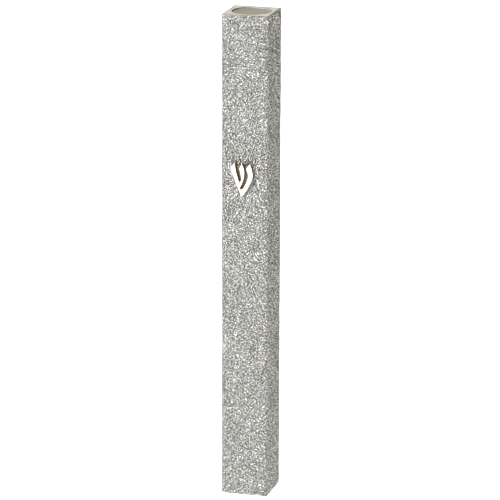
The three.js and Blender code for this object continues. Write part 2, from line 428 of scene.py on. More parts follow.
class Surface(Wiring):
    """A new material with its Principled shader, ready to be wired."""

    def __init__(self, name: str) -> None:
        """Starts a material.

        Args:
            name: the material's name.
        """
        self.material = bpy.data.materials.new(name)
        self.material.use_nodes = True
        super().__init__(self.material.node_tree)
        self.tree.nodes.clear()
        self.shader = self.add("ShaderNodeBsdfPrincipled")
        self.add("ShaderNodeOutputMaterial", Surface=self.shader.outputs[0])
        coordinates = self.add("ShaderNodeTexCoord").outputs
        self.place, self.facing = coordinates["Object"], coordinates["Normal"]

    def group(self, tree: Tree, **sockets: object) -> Sockets:
        """Adds a node group laid over the object's own coordinates and returns its outputs."""
        settings = {"node_tree": tree}
        return self.add("ShaderNodeGroup", settings=settings, Vector=self.place, **sockets).outputs

    def grain(self, size: float, relief: float = 0.0) -> Sockets:
        """Adds fine grain and returns its value and normal."""
        return self.group(grain_group(), Size=size, Relief=relief)

    def streaks(self, size: float, relief: float, stretch: tuple[float, float, float]) -> Sockets:
        """Adds streaks that are longer the smaller their stretch, and returns value and normal."""
        return self.group(streak_group(), Size=size, Relief=relief, Stretch=stretch)

    def dusted(self, colour: Socket, dust: Colour, spacing: float, amount: float) -> Socket:
        """Adds specks of dust over a colour and returns the colour with them."""
        specks = {"Color": colour, "Dust": dust, "Spacing": spacing, "Amount": amount}
        return self.group(dust_group(), **specks)["Color"]

    def ramp(self, value: Socket, stops: Sequence[tuple[float, Colour]]) -> Socket:
        """Colours a value along a ramp.

        Args:
            value: the value that is coloured.
            stops: each place on the ramp with its colour, in order.

        Returns:
            The colour.
        """
        node = self.add("ShaderNodeValToRGB", value)
        elements = node.color_ramp.elements
        for place, _ in stops[1:-1]:
            elements.new(place)
        for element, (place, colour) in zip(elements, stops):
            element.position = place
            element.color = colour
        return node.outputs[0]

    def dress(self, **sockets: object) -> Material:
        """Finishes the material.

        Args:
            sockets: a value, or an output to link, for each shader input by name, with _ for a space.

        Returns:
            The material.
        """
        for key, value in sockets.items():
            self.join(value, self.shader.inputs[key.replace("_", " ")])
        return self.material


@dataclass(frozen=True)
class GlitterFilm:
    """Thin film packed with small silver flakes, with painted shade in the gaps between them."""

    # dark, middle and bright are painted reflection: each flake's random tone stands in for the light
    # that its tilt would catch.
    dark: Colour = srgb(70, 69, 65)
    middle: Colour = srgb(182, 183, 181)
    bright: Colour = srgb(250, 251, 251)
    # gap is painted shade, laid along the gaps between the flakes.
    gap: Colour = srgb(70, 69, 66)
    gap_shade_strength: float = 0.7
    flake_size: float = 0.17 * MM
    tilt: float = 1.3
    metallic: float = 0.85
    roughness: Span = (0.1, 0.25)

    def build(self) -> Material:
        """Wires the material.

        Returns:
            The material.
        """
        surface = Surface("glitter_film")
        flakes = surface.group(flake_group(), Flake_Size=self.flake_size, Tilt=self.tilt)
        # Painted reflection: each flake is coloured from dark to bright by chance, on top of the real
        # tilt of its normal.
        tone = surface.ramp(flakes["Tone"], [(0.0, self.dark), (0.5, self.middle), (1.0, self.bright)])
        # Painted shade: the film turns towards the gap colour along the gaps between flakes.
        between = surface.maths("MULTIPLY", flakes["Gap"], self.gap_shade_strength)
        return surface.dress(
            Base_Color=surface.mixed(between, tone, self.gap),
            Metallic=self.metallic,
            Roughness=surface.ranged(flakes["Sheen"], *self.roughness),
            Normal=flakes["Normal"],
        )


@dataclass(frozen=True)
class LooseFlakes:
    """The flakes that stand out of the film, each with a random tone that paints the reflection its tilt
    would catch.
    """

    # dark and bright are painted reflection: the ends of the flakes' random tones.
    dark: Colour = srgb(48, 47, 44)
    bright: Colour = srgb(254, 255, 255)
    metallic: float = 0.9
    roughness: Span = (0.12, 0.24)

    def build(self) -> Material:
        """Wires the material.

        Returns:
            The material.
        """
        surface = Surface("glitter_flakes")
        # Painted reflection: each flake's stored random value colours it from dark to bright.
        tone = surface.add("ShaderNodeAttribute", settings={"attribute_name": FLAKE_PAINTED_REFLECTION}).outputs["Fac"]
        grain = surface.grain(0.1 * MM, relief=0.1)
        return surface.dress(
            Base_Color=surface.ramp(tone, [(0.0, self.dark), (1.0, self.bright)]),
            Metallic=self.metallic,
            Roughness=surface.ranged(grain["Value"], *self.roughness),
            Normal=grain["Normal"],
        )


@dataclass(frozen=True)
class DrawnAluminium:
    """Extruded aluminium: streaks along its walls, saw marks across its cut ends, painted shade on its
    broken edges.
    """

    pale: Colour = srgb(227, 225, 220)
    dull: Colour = srgb(206, 203, 196)
    # edge is painted shade: the tan-brown that darkens the chamfers and the bore's rounded mouth.
    edge: Colour = srgb(128, 118, 102)
    metallic: float = 0.8
    oxidised: float = 0.2
    roughness: Span = (0.48, 0.34)
    end_face_from: float = 0.7
    edge_from: Span = (0.2, 0.35)
    edge_to: Span = (0.93, 0.99)
    edge_shade_share: float = 0.8

    def build(self) -> Material:
        """Wires the material.

        Returns:
            The material.
        """
        surface = Surface("drawn_aluminium")
        along = surface.streaks(0.15 * MM, relief=0.25, stretch=(1.0, 1.0, 0.02))
        across = surface.streaks(0.12 * MM, relief=0.3, stretch=(0.03, 1.0, 1.0))
        height = surface.add("ShaderNodeSeparateXYZ", surface.facing).outputs["Z"]
        upright = surface.maths("ABSOLUTE", height)
        end_face = surface.maths("GREATER_THAN", upright, self.end_face_from)
        value = surface.blended("FLOAT", end_face, along["Value"], across["Value"])
        # Painted shade: faces tilted between upright and level, the chamfers and the rounded mouth, turn
        # towards the edge colour.
        broken = surface.maths(
            "MULTIPLY",
            surface.ranged(upright, 0.0, self.edge_shade_share, self.edge_from),
            surface.ranged(upright, 1.0, 0.0, self.edge_to),
        )
        return surface.dress(
            Base_Color=surface.mixed(broken, surface.mixed(value, self.dull, self.pale), self.edge),
            Metallic=surface.ranged(upright, self.oxidised, self.metallic, (0.5, 0.9)),
            Roughness=surface.ranged(value, *self.roughness),
            Normal=surface.blended("VECTOR", end_face, along["Normal"], across["Normal"]),
        )


@dataclass(frozen=True)
class MouldedSilicone:
    """Grey silicone rubber, matte and a little dusty."""

    base: Colour = srgb(166, 163, 154)
    shade: Colour = srgb(152, 149, 140)
    dust: Colour = srgb(200, 197, 190)
    roughness: Span = (0.45, 0.65)
    depth: float = 0.08
    refraction: float = 1.41

    def build(self) -> Material:
        """Wires the material.

        Returns:
            The material.
        """
        surface = Surface("moulded_silicone")
        skin = surface.grain(0.12 * MM, relief=0.12)
        body = surface.mixed(surface.grain(2.5 * MM)["Value"], self.shade, self.base)
        return surface.dress(
            Base_Color=surface.dusted(body, self.dust, spacing=0.9 * MM, amount=0.22),
            Roughness=surface.ranged(skin["Value"], *self.roughness),
            Normal=skin["Normal"],
            Subsurface_Weight=self.depth,
            Subsurface_Scale=0.3 * MM,
            IOR=self.refraction,
        )


@dataclass(frozen=True)
class PolishedPlating:
    """Bright nickel plating with faint polishing marks."""

    base: Colour = srgb(250, 248, 245)
    warm: Colour = srgb(240, 236, 230)
    roughness: Span = (0.07, 0.16)

    def build(self) -> Material:
        """Wires the material.

        Returns:
            The material.
        """
        surface = Surface("polished_plating")
        marks = surface.streaks(0.2 * MM, relief=0.02, stretch=(0.1, 1.0, 1.0))
        return surface.dress(
            Base_Color=surface.mixed(surface.grain(2 * MM)["Value"], self.base, self.warm),
            Metallic=1.0,
            Roughness=surface.ranged(marks["Value"], *self.roughness),
            Normal=marks["Normal"],
        )


@dataclass(frozen=True)
class Grainy:
    """A plain finish of two tones that fine grain mixes and raises."""

    name: str
    base: Colour
    shade: Colour
    grain_size: float
    relief: float
    roughness: Span
    metallic: float = 0.0

    def build(self) -> Material:
        """Wires the material.

        Returns:
            The material.
        """
        surface = Surface(self.name)
        grain = surface.grain(self.grain_size, self.relief)
        return surface.dress(
            Base_Color=surface.mixed(grain["Value"], self.shade, self.base),
            Metallic=self.metallic,
            Roughness=surface.ranged(grain["Value"], *self.roughness),
            Normal=grain["Normal"],
        )


# Painted shade: the letter's side walls in dark brown metal, darker than its polished face.
LETTER_SIDE_SHADE = Grainy(
    "dull_casting", srgb(150, 134, 112), srgb(104, 90, 72), 0.15 * MM, 0.3, (0.55, 0.38), metallic=0.7
)
# Brown-grey foam adhesive, a little uneven.
PAD_ADHESIVE = Grainy(
    "pad_adhesive", srgb(168, 154, 134), srgb(138, 125, 106), 0.4 * MM, 0.15, (0.5, 0.8)
)


@dataclass(frozen=True)
class PlainParchment:
    """Prepared parchment: creamy, clouded, with fine fibres and pores."""

    base: Colour = srgb(233, 221, 192)
    aged: Colour = srgb(212, 194, 156)
    pore: Colour = srgb(168, 146, 108)
    roughness: Span = (0.7, 0.9)
    depth: float = 0.1

    def build(self) -> Material:
        """Wires the material.

        Returns:
            The material.
        """
        surface = Surface("plain_parchment")
        fibre = surface.streaks(0.12 * MM, relief=0.35, stretch=(1.0, 1.0, 0.25))
        body = surface.mixed(surface.grain(5 * MM)["Value"], self.aged, self.base)
        thread = surface.ranged(fibre["Value"], 0.3, 0.0, (0.0, 0.5))
        threaded = surface.mixed(thread, body, self.aged)
        return surface.dress(
            Base_Color=surface.dusted(threaded, self.pore, spacing=0.7 * MM, amount=0.35),
            Roughness=surface.ranged(fibre["Value"], *self.roughness),
            Normal=fibre["Normal"],
            Subsurface_Weight=self.depth,
            Subsurface_Scale=0.4 * MM,
        )


@dataclass(frozen=True)
class ClearSleeve:
    """Thin clear plastic with a few soft scuffs."""

    tint: Colour = srgb(238, 242, 243)
    scuffed: Colour = srgb(226, 231, 232)
    roughness: Span = (0.08, 0.25)
    alpha: float = 0.28

    def build(self) -> Material:
        """Wires the material.

        Returns:
            The material.
        """
        surface = Surface("clear_sleeve")
        scuff = surface.streaks(0.5 * MM, relief=0.08, stretch=(1.0, 1.0, 0.1))
        return surface.dress(
            Base_Color=surface.mixed(scuff["Value"], self.scuffed, self.tint),
            Roughness=surface.ranged(scuff["Value"], *self.roughness),
            Normal=scuff["Normal"],
            Alpha=self.alpha,
        )


@dataclass(frozen=True)
class FoamCore:
    """White closed-cell foam, its small bubbles cut open at the edges, with painted shade in their
    hollows.
    """

    base: Colour = srgb(236, 235, 229)
    # cell is painted shade, laid in the middle of each cut-open bubble.
    cell: Colour = srgb(196, 194, 186)
    cell_size: float = 0.14 * MM
    cell_depth: float = 0.08 * MM
    relief: float = 0.6
    roughness: Span = (0.95, 0.75)

    def build(self) -> Material:
        """Wires the material.

        Returns:
            The material.
        """
        surface = Surface("foam_core")
        place = surface.scaled(surface.place, 1 / self.cell_size)
        bubbles = surface.first("ShaderNodeTexVoronoi", Vector=place, Scale=1.0)
        # Painted shade: darker towards the middle of each bubble, where its hollow lies.
        hollow = surface.ranged(bubbles, 1.0, 0.0, (0.1, 0.5))
        return surface.dress(
            Base_Color=surface.mixed(hollow, self.base, self.cell),
            Roughness=surface.ranged(bubbles, *self.roughness),
            Normal=surface.first(
                "ShaderNodeBump", Strength=self.relief, Distance=self.cell_depth, Height=bubbles
            ),
        )


@dataclass(frozen=True)
class TackySkin:
    """The glossy adhesive face of the tape, faintly marked by its liner."""

    base: Colour = srgb(241, 240, 234)
    shade: Colour = srgb(224, 222, 213)
    dust: Colour = srgb(170, 166, 156)
    roughness: Span = (0.22, 0.42)

    def build(self) -> Material:
        """Wires the material.

        Returns:
            The material.
        """
        surface = Surface("tacky_skin")
        liner = surface.streaks(0.6 * MM, relief=0.12, stretch=(0.3, 1.0, 1.0))
        body = surface.mixed(liner["Value"], self.shade, self.base)
        return surface.dress(
            Base_Color=surface.dusted(body, self.dust, spacing=1.6 * MM, amount=0.12),
            Roughness=surface.ranged(liner["Value"], *self.roughness),
            Normal=liner["Normal"],
        )


# ---- Shapes shared by the pieces -------------------------------------------------------------------


class Side(Enum):
    """The four long sides of the case, by the quarter turn from the front."""

    FRONT = 0
    RIGHT = 1
    BACK = 2
    LEFT = 3


def rounded_square(
    half: float, radius: float, steps: int, corner_steps: int, gap: float = 0.0
) -> list[Vector]:
    """Walks round a square with rounded corners, seen from above, from the middle of its back.

    Args:
        half: half of the width.
        radius: the corners' radius.
        steps: how many steps each half side takes.
        corner_steps: how many steps each corner takes.
        gap: how far apart the two ends stay; 0 closes the outline, and the last point is left out.

    Returns:
        The points, clockwise.
    """
    inner = half - radius
    points: list[Vector] = []
    for corner in range(4):
        turn = -QUARTER_TURN * corner
        start = gap / 2 if corner == 0 else 0.0
        finish = gap / 2 if corner == 3 else 0.0
        quarter = [Vector((start + (inner - start) * step / steps, half)) for step in range(steps)]
        for step in range(corner_steps + 1):
            angle = QUARTER_TURN * (1 - step / corner_steps)
            quarter.append(
                Vector((inner + radius * math.cos(angle), inner + radius * math.sin(angle)))
            )
        quarter += [
            Vector((half, inner - (inner - finish) * step / steps)) for step in range(1, steps)
        ]
        points += [Matrix.Rotation(turn, 2) @ point for point in quarter]
    if gap:
        points.append(Vector((-gap / 2, half)))
    return points


def circle(radius: float, count: int) -> list[Vector]:
    """Walks clockwise round a circle from its back, seen from above."""
    angles = [QUARTER_TURN - FULL_TURN * step / count for step in range(count)]
    return [Vector((radius * math.cos(angle), radius * math.sin(angle))) for angle in angles]


def add_ring(shape: Shape, outline: Sequence[Vector], centre: Vector, height: float) -> Ring:
    """Adds a closed ring of vertices at one height about a centre."""
    return [shape.verts.new((centre.x + p.x, centre.y + p.y, height)) for p in outline]


def bridge(shape: Shape, first: Ring, second: Ring, material: int = 0) -> None:
    """Joins two rings of the same count with quads.

    Args:
        shape: the shape that they belong to.
        first: one ring.
        second: the other ring.
        material: the number of the quads' material.
    """
    count = len(first)
    for index in range(count):
        following = (index + 1) % count
        face = shape.faces.new((first[index], first[following], second[following], second[index]))
        face.material_index = material


def turned_shape(profile: Sequence[Span], centre: Vector, count: int) -> Shape:
    """Turns a profile about a vertical axis into a closed shape.

    Args:
        profile: (radius, height) points from one end of the axis to the other.
        centre: a point on the axis.
        count: how many steps the turn takes.

    Returns:
        The closed shape.
    """
    shape = bmesh.new()
    rings: list[Ring] = []
    for radius, height in profile:
        if radius < DOUBLES:
            rings.append([shape.verts.new((centre.x, centre.y, height))])
        else:
            rings.append(add_ring(shape, circle(radius, count), centre, height))
    for first, second in zip(rings, rings[1:]):
        if len(first) == 1 or len(second) == 1:
            pole, ring = (first[0], second) if len(first) == 1 else (second[0], first)
            for index in range(count):
                shape.faces.new((pole, ring[index], ring[(index + 1) % count]))
        else:
            bridge(shape, first, second)
    return shape


def arc(centre: Span, radius: float, start: float, finish: float, steps: int) -> list[Span]:
    """Points of a (radius, height) profile along an arc, its ends included, angles in degrees."""
    angles = [math.radians(start + (finish - start) * step / steps) for step in range(steps + 1)]
    return [(centre[0] + radius * math.cos(a), centre[1] + radius * math.sin(a)) for a in angles]


# ---- Sub-assemblies --------------------------------------------------------------------------------


@dataclass
class Studio:
    """The plain pale floor, the soft lights and the camera."""

    floor_drop: float = 0.26
    floor_size: float = 14.0
    floor_cloud: float = 0.3
    floor_white: Colour = srgb(252, 252, 252)
    floor_shade: Colour = srgb(248, 248, 248)
    floor_roughness: float = 0.9
    floor_glow: float = 0.95
    floor_bounce: float = 0.6
    azimuth: float = 15.81
    elevation: float = 15.41
    roll: float = 0.15
    distance: float = 1.059
    lens: float = 247.8
    sensor_width: float = 36.0
    farthest_seen: float = 50.0
    shift: Span = (-0.00204, 0.00709)
    sharpness: float = 1.0
    surround: Colour = (0.235, 0.215, 0.165, 1.0)
    shaded_side: Colour = (0.12, 0.09, 0.025, 1.0)
    shaded_from: Span = (0.1, 0.7)

    def build(self) -> None:
        """Makes the floor, the surround, the lights and the camera."""
        low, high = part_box("glitter_wrap")
        centre = (low + high) / 2
        self.make_floor(centre)
        self.make_surround()
        self.make_lights(centre)
        self.make_camera(centre)

    def make_floor(self, centre: Vector) -> None:
        """Lays a wide pale floor, low enough for the lower plug to come right out.

        Args:
            centre: the middle of the case.
        """
        shape = bmesh.new()
        half = self.floor_size / 2
        corners = [(-half, -half), (half, -half), (half, half), (-half, half)]
        shape.faces.new(
            [shape.verts.new((centre.x + x, centre.y + y, -self.floor_drop)) for x, y in corners]
        )
        floor = object_from_bmesh("studio_floor", shape)
        surface = Surface("studio_floor")
        cloud = surface.grain(self.floor_cloud)["Value"]
        seen = surface.add("ShaderNodeLightPath").outputs["Is Camera Ray"]
        material = surface.dress(
            Base_Color=surface.mixed(cloud, self.floor_shade, self.floor_white),
            Roughness=self.floor_roughness,
            Emission_Color=(1.0, 1.0, 1.0, 1.0),
            Emission_Strength=surface.ranged(seen, self.floor_bounce, self.floor_glow),
        )
        floor.data.materials.append(material)

    def make_surround(self) -> None:
        """Fills the room with soft light that falls off and warms towards the right."""
        world = bpy.data.worlds.new("studio")
        bpy.context.scene.world = world
        world.use_nodes = True
        wiring = Wiring(world.node_tree)
        direction = wiring.add("ShaderNodeTexCoord").outputs["Generated"]
        rightward = wiring.first("ShaderNodeSeparateXYZ", direction)
        share = wiring.ranged(rightward, 0.0, 1.0, self.shaded_from)
        background = world.node_tree.nodes["Background"]
        wiring.join(wiring.mixed(share, self.surround, self.shaded_side), background.inputs["Color"])

    def make_lights(self, centre: Vector) -> None:
        """Hangs a large soft light on the left of the front, one above and a weak one behind.

        Args:
            centre: the middle of the case, which they face.
        """
        plan = [
            ("key", (-0.9, -1.6, 0.9), 0.9, 36.0, (0.965, 0.985, 1.0)),
            ("overhead", (0.0, 0.2, 1.6), 1.2, 8.0, (1.0, 0.99, 0.97)),
            ("backdrop", (-0.35, 1.5, 0.55), 1.1, 3.2, (1.0, 0.985, 0.96)),
        ]
        for name, offset, size, power, colour in plan:
            light = bpy.data.lights.new(name, "AREA")
            light.shape = "SQUARE"
            light.size = size
            light.energy = power
            light.color = colour
            lamp = bpy.data.objects.new(name, light)
            bpy.context.scene.collection.objects.link(lamp)
            lamp.location = centre + Vector(offset)
            lamp.rotation_euler = (-Vector(offset)).to_track_quat("-Z", "Y").to_euler()

    def make_camera(self, centre: Vector) -> None:
        """Sets the camera on its long lens, and how it turns light into colour.

        Args:
            centre: the middle of the case, about which the camera is placed.
        """
        around, above = math.radians(self.azimuth), math.radians(self.elevation)
        level = math.cos(above)
        back = Vector((math.sin(around) * level, -math.cos(around) * level, math.sin(above)))
        right = Vector((math.cos(around), math.sin(around), 0.0))
        right = Matrix.Rotation(math.radians(self.roll), 3, back) @ right
        axes = Matrix((right, back.cross(right), back)).transposed()
        camera = bpy.data.cameras.new("camera")
        camera.lens = self.lens
        camera.sensor_width = self.sensor_width
        camera.shift_x, camera.shift_y = self.shift
        camera.clip_end = self.farthest_seen
        holder = bpy.data.objects.new("camera", camera)
        scene = bpy.context.scene
        scene.collection.objects.link(holder)
        holder.matrix_world = Matrix.Translation(centre + back * self.distance) @ axes.to_4x4()
        scene.camera = holder
        scene.view_settings.view_transform = "Standard"
        scene.view_settings.look = "None"
        scene.cycles.filter_width = self.sharpness


@dataclass
class CaseTube:
    """The extruded tube: square outside, round bore, its edges broken at both ends."""

    corner_radius: float = 0.4 * MM
    end_chamfer: float = 0.15 * MM
    mouth_radius: float = 0.12 * MM
    plug_clearance: float = 0.05 * MM
    side_steps: int = 14
    corner_steps: int = 8
    mouth_steps: int = 4

    def build(self) -> list[Piece]:
        """Makes the tube as one closed wall.

        Returns:
            The tube.
        """
        low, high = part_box("case_tube")
        plug_low, plug_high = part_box("top_plug")
        centre = (low + high) / 2
        half = (high.x - low.x) / 2
        bore = (plug_high.x - plug_low.x) / 2 + self.plug_clearance
        outer = self.outline(half)
        chamfered = self.outline(half, self.end_chamfer)
        shape = bmesh.new()
        rings = [
            add_ring(shape, chamfered, centre, low.z),
            add_ring(shape, outer, centre, low.z + self.end_chamfer),
            add_ring(shape, outer, centre, high.z - self.end_chamfer),
            add_ring(shape, chamfered, centre, high.z),
        ]
        rings += self.bore_rings(shape, centre, bore, high.z, -1.0)
        rings += self.bore_rings(shape, centre, bore, low.z, 1.0)[::-1]
        for first, second in zip(rings, [*rings[1:], rings[0]]):
            bridge(shape, first, second)
        tube = object_from_bmesh("case_tube_drawn", shape)
        soften(tube)
        tube.data.materials.append(DrawnAluminium().build())
        return [settle(tube, "case", ["case_tube"])]

    def outline(self, half: float, inset: float = 0.0) -> list[Vector]:
        """The outside of the tube, drawn in by an inset."""
        return rounded_square(
            half - inset, self.corner_radius - inset, self.side_steps, self.corner_steps
        )

    def bore_rings(
        self, shape: Shape, centre: Vector, bore: float, end: float, inward: float
    ) -> list[Ring]:
        """The rings of the rounded mouth at one end, from the end face into the bore.

        Args:
            shape: the shape that gets the rings.
            centre: a point on the bore's axis.
            bore: the bore's radius.
            end: the height of the end face.
            inward: 1 where the bore goes up from that face, and -1 where it goes down.

        Returns:
            The rings, the first on the end face.
        """
        count = len(self.outline(1.0))
        rings = []
        for step in range(self.mouth_steps + 1):
            angle = QUARTER_TURN * step / self.mouth_steps
            radius = bore + self.mouth_radius * (1 - math.sin(angle))
            height = end + inward * self.mouth_radius * (1 - math.cos(angle))
            rings.append(add_ring(shape, circle(radius, count), centre, height))
        return rings


@dataclass
class GlitterSkin:
    """The glitter film round the tube, with the flakes that stand out of it."""

    corner_radius: float = 0.45 * MM
    thickness: float = 0.2 * MM
    seam_gap: float = 0.3 * MM
    film_room: float = 0.175 * MM
    relief: float = 0.08 * MM
    section_steps: int = 208
    height_steps: int = 441
    inner_steps: int = 11
    half_side_steps: int = 4
    corner_steps: int = 8
    film_seed: int = 7
    flake_radius: float = 0.21 * MM
    flake_thickness: float = 0.02 * MM
    flake_spacing: float = 0.36 * MM
    flake_tilt: float = math.radians(48)
    flake_room: float = 1.5
    flake_density: float = 6e6
    smallest_flake: float = 0.7
    flake_seed: int = 11

    def build(self) -> list[Piece]:
        """Makes the film and, for each side, its standing flakes.

        Returns:
            The film and the four sides' flakes.
        """
        low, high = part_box("glitter_wrap")
        centre = (low + high) / 2
        half = (high.x - low.x) / 2
        film = self.make_film(half, high.z - low.z)
        film.data.transform(Matrix.Translation(centre))
        finish = LooseFlakes().build()
        flakes = [self.make_flakes(side, half, low.z, high.z, centre, finish) for side in Side]
        for piece in flakes:
            settle(piece, "case", ["glitter_wrap"])
        return [settle(film, "case", ["glitter_wrap"]), *flakes]

    def make_film(self, half: float, height: float) -> Piece:
        """Bends the film round the tube's section.

        Args:
            half: half of the room that the film and its flakes have in width.
            height: the film's height.

        Returns:
            The film about the origin.
        """
        section = bpy.data.meshes.new("glitter_film")
        outline = rounded_square(
            half - self.film_room,
            self.corner_radius - self.film_room,
            self.half_side_steps,
            self.corner_steps,
            self.seam_gap,
        )
        edges = [(index, index + 1) for index in range(len(outline) - 1)]
        section.from_pydata([(p.x, p.y, 0.0) for p in outline], edges, [])
        values = {
            "Height": height,
            "Thickness": self.thickness,
            "Relief": self.relief,
            "Section Steps": self.section_steps,
            "Height Steps": self.height_steps,
            "Inner Steps": self.inner_steps,
            "Seed": self.film_seed,
            "Finish": GlitterFilm().build(),
        }
        return through_tree(object_from_mesh("glitter_film", section), film_tree(), values)

    def make_flakes(
        self, side: Side, half: float, low: float, high: float, centre: Vector, finish: Material
    ) -> Piece:
        """Scatters standing flakes over the flat of one side.

        Args:
            side: the side that gets them.
            half: half of the room that the film and its flakes have in width.
            low: the height of the film's lower edge.
            high: the height of its upper edge.
            centre: a point on the case's axis.
            finish: the flakes' material.

        Returns:
            The flakes as one object.
        """
        stand = self.flake_radius * math.sin(self.flake_tilt) + self.flake_room * self.flake_thickness
        inner = half - self.corner_radius
        depth = stand - half
        bottom, top = low + self.flake_radius, high - self.flake_radius
        turn = Matrix.Rotation(QUARTER_TURN * side.value, 2)
        shape = bmesh.new()
        corners = [(-inner, bottom), (inner, bottom), (inner, top), (-inner, top)]
        shape.faces.new(
            [shape.verts.new((*(turn @ Vector((x, depth)) + centre.xy), z)) for x, z in corners]
        )
        mesh = bpy.data.meshes.new("flakes")
        shape.to_mesh(mesh)
        shape.free()
        values = {
            "Spacing": self.flake_spacing,
            "Radius": self.flake_radius,
            "Thickness": self.flake_thickness,
            "Tilt": self.flake_tilt,
            "Density": self.flake_density,
            "Smallest": self.smallest_flake,
            "Seed": self.flake_seed + side.value,
            "Finish": finish,
        }
        name = f"glitter_flakes_{side.name.lower()}"
        return through_tree(object_from_mesh(name, mesh), flake_tree(), values)


def unit_slab(wiring: Wiring, columns: Socket, rows: Socket) -> tuple[Socket, Socket, Sockets]:
    """Starts a Geometry Nodes tree with a slab one unit wide, deep and high about the origin.

    Args:
        wiring: the wiring of the tree.
        columns: how many points the slab has along its width.
        rows: how many it has up its height.

    Returns:
        The slab, the position of its points, and that position's X, Y and Z.
    """
    slab = wiring.first(
        "GeometryNodeMeshCube", Size=(1.0, 1.0, 1.0), Vertices_X=columns, Vertices_Y=2, Vertices_Z=rows
    )
    position = wiring.first("GeometryNodeInputPosition")
    return slab, position, wiring.add("ShaderNodeSeparateXYZ", position).outputs


def finish_tree(wiring: Wiring, shape: Socket, finish: Socket, result: Sockets) -> Tree:
    """Ends a Geometry Nodes tree with real, dressed geometry.

    Args:
        wiring: the wiring of the tree.
        shape: the geometry that it has made.
        finish: the material.
        result: the tree's outputs.

    Returns:
        The finished tree.
    """
    whole = wiring.first("GeometryNodeRealizeInstances", shape)
    dressed = wiring.first("GeometryNodeSetMaterial", Geometry=whole, Material=finish)
    wiring.join(dressed, result["Geometry"])
    return wiring.tree


@cache
def film_tree() -> Tree:
    """Builds the tree that bends a slab round an open outline and roughens its outer face.

    Returns:
        The tree.
    """
    wiring, given, result = new_group(
        "bent_film",
        "GeometryNodeTree",
        {
            "Section": (GEOMETRY, None),
            "Height": (FLOAT, 0.1),
            "Thickness": (FLOAT, MM),
            "Relief": (FLOAT, 0.0),
            "Section Steps": (WHOLE, 10),
            "Height Steps": (WHOLE, 10),
            "Inner Steps": (WHOLE, 2),
            "Seed": (WHOLE, 0),
            "Finish": (FINISH, None),
        },
        {"Geometry": GEOMETRY},
    )
    maths = wiring.maths
    slab, _, place = unit_slab(wiring, given["Section Steps"], given["Height Steps"])
    along = maths("ADD", place["X"], 0.5)
    outside = maths("GREATER_THAN", place["Y"], 0.0)
    outline = wiring.first("GeometryNodeMeshToCurve", Mesh=given["Section"])
    by_share = {"mode": "FACTOR", "use_all_curves": True}
    sampler = wiring.add("GeometryNodeSampleCurve", settings=by_share, Curves=outline, Factor=along)
    sample = sampler.outputs
    crossed = wiring.vector("CROSS_PRODUCT", (0.0, 0.0, 1.0), sample["Tangent"])
    outward = wiring.vector("NORMALIZE", crossed)
    number = {"data_type": "FLOAT"}
    chance = wiring.add("FunctionNodeRandomValue", settings=number, Max=1.0, Seed=given["Seed"])
    sunk = maths("MULTIPLY", chance.outputs["Value"], given["Relief"])
    inside = maths("SUBTRACT", 1.0, outside)
    depth = maths(
        "ADD", maths("MULTIPLY", outside, sunk), maths("MULTIPLY", inside, given["Thickness"])
    )
    # The inner face keeps only a few rows of points: the others are merged into them.
    rung = maths("DIVIDE", 1.0, maths("SUBTRACT", given["Inner Steps"], 1.0))
    coarse = maths("SUBTRACT", maths("SNAP", maths("ADD", place["Z"], JUST_OVER_HALF), rung), 0.5)
    level = wiring.blended("FLOAT", outside, coarse, place["Z"])
    height = wiring.first("ShaderNodeCombineXYZ", Z=maths("MULTIPLY", level, given["Height"]))
    across = wiring.vector("ADD", sample["Position"], height)
    bent = wiring.vector("ADD", across, wiring.scaled(outward, maths("MULTIPLY", depth, -1.0)))
    shaped = wiring.first("GeometryNodeSetPosition", Geometry=slab, Position=bent)
    merged = wiring.first("GeometryNodeMergeByDistance", Geometry=shaped, Distance=TOUCHING)
    flat = wiring.first("GeometryNodeSetShadeSmooth", merged, Shade_Smooth=False)
    return finish_tree(wiring, flat, given["Finish"], result)


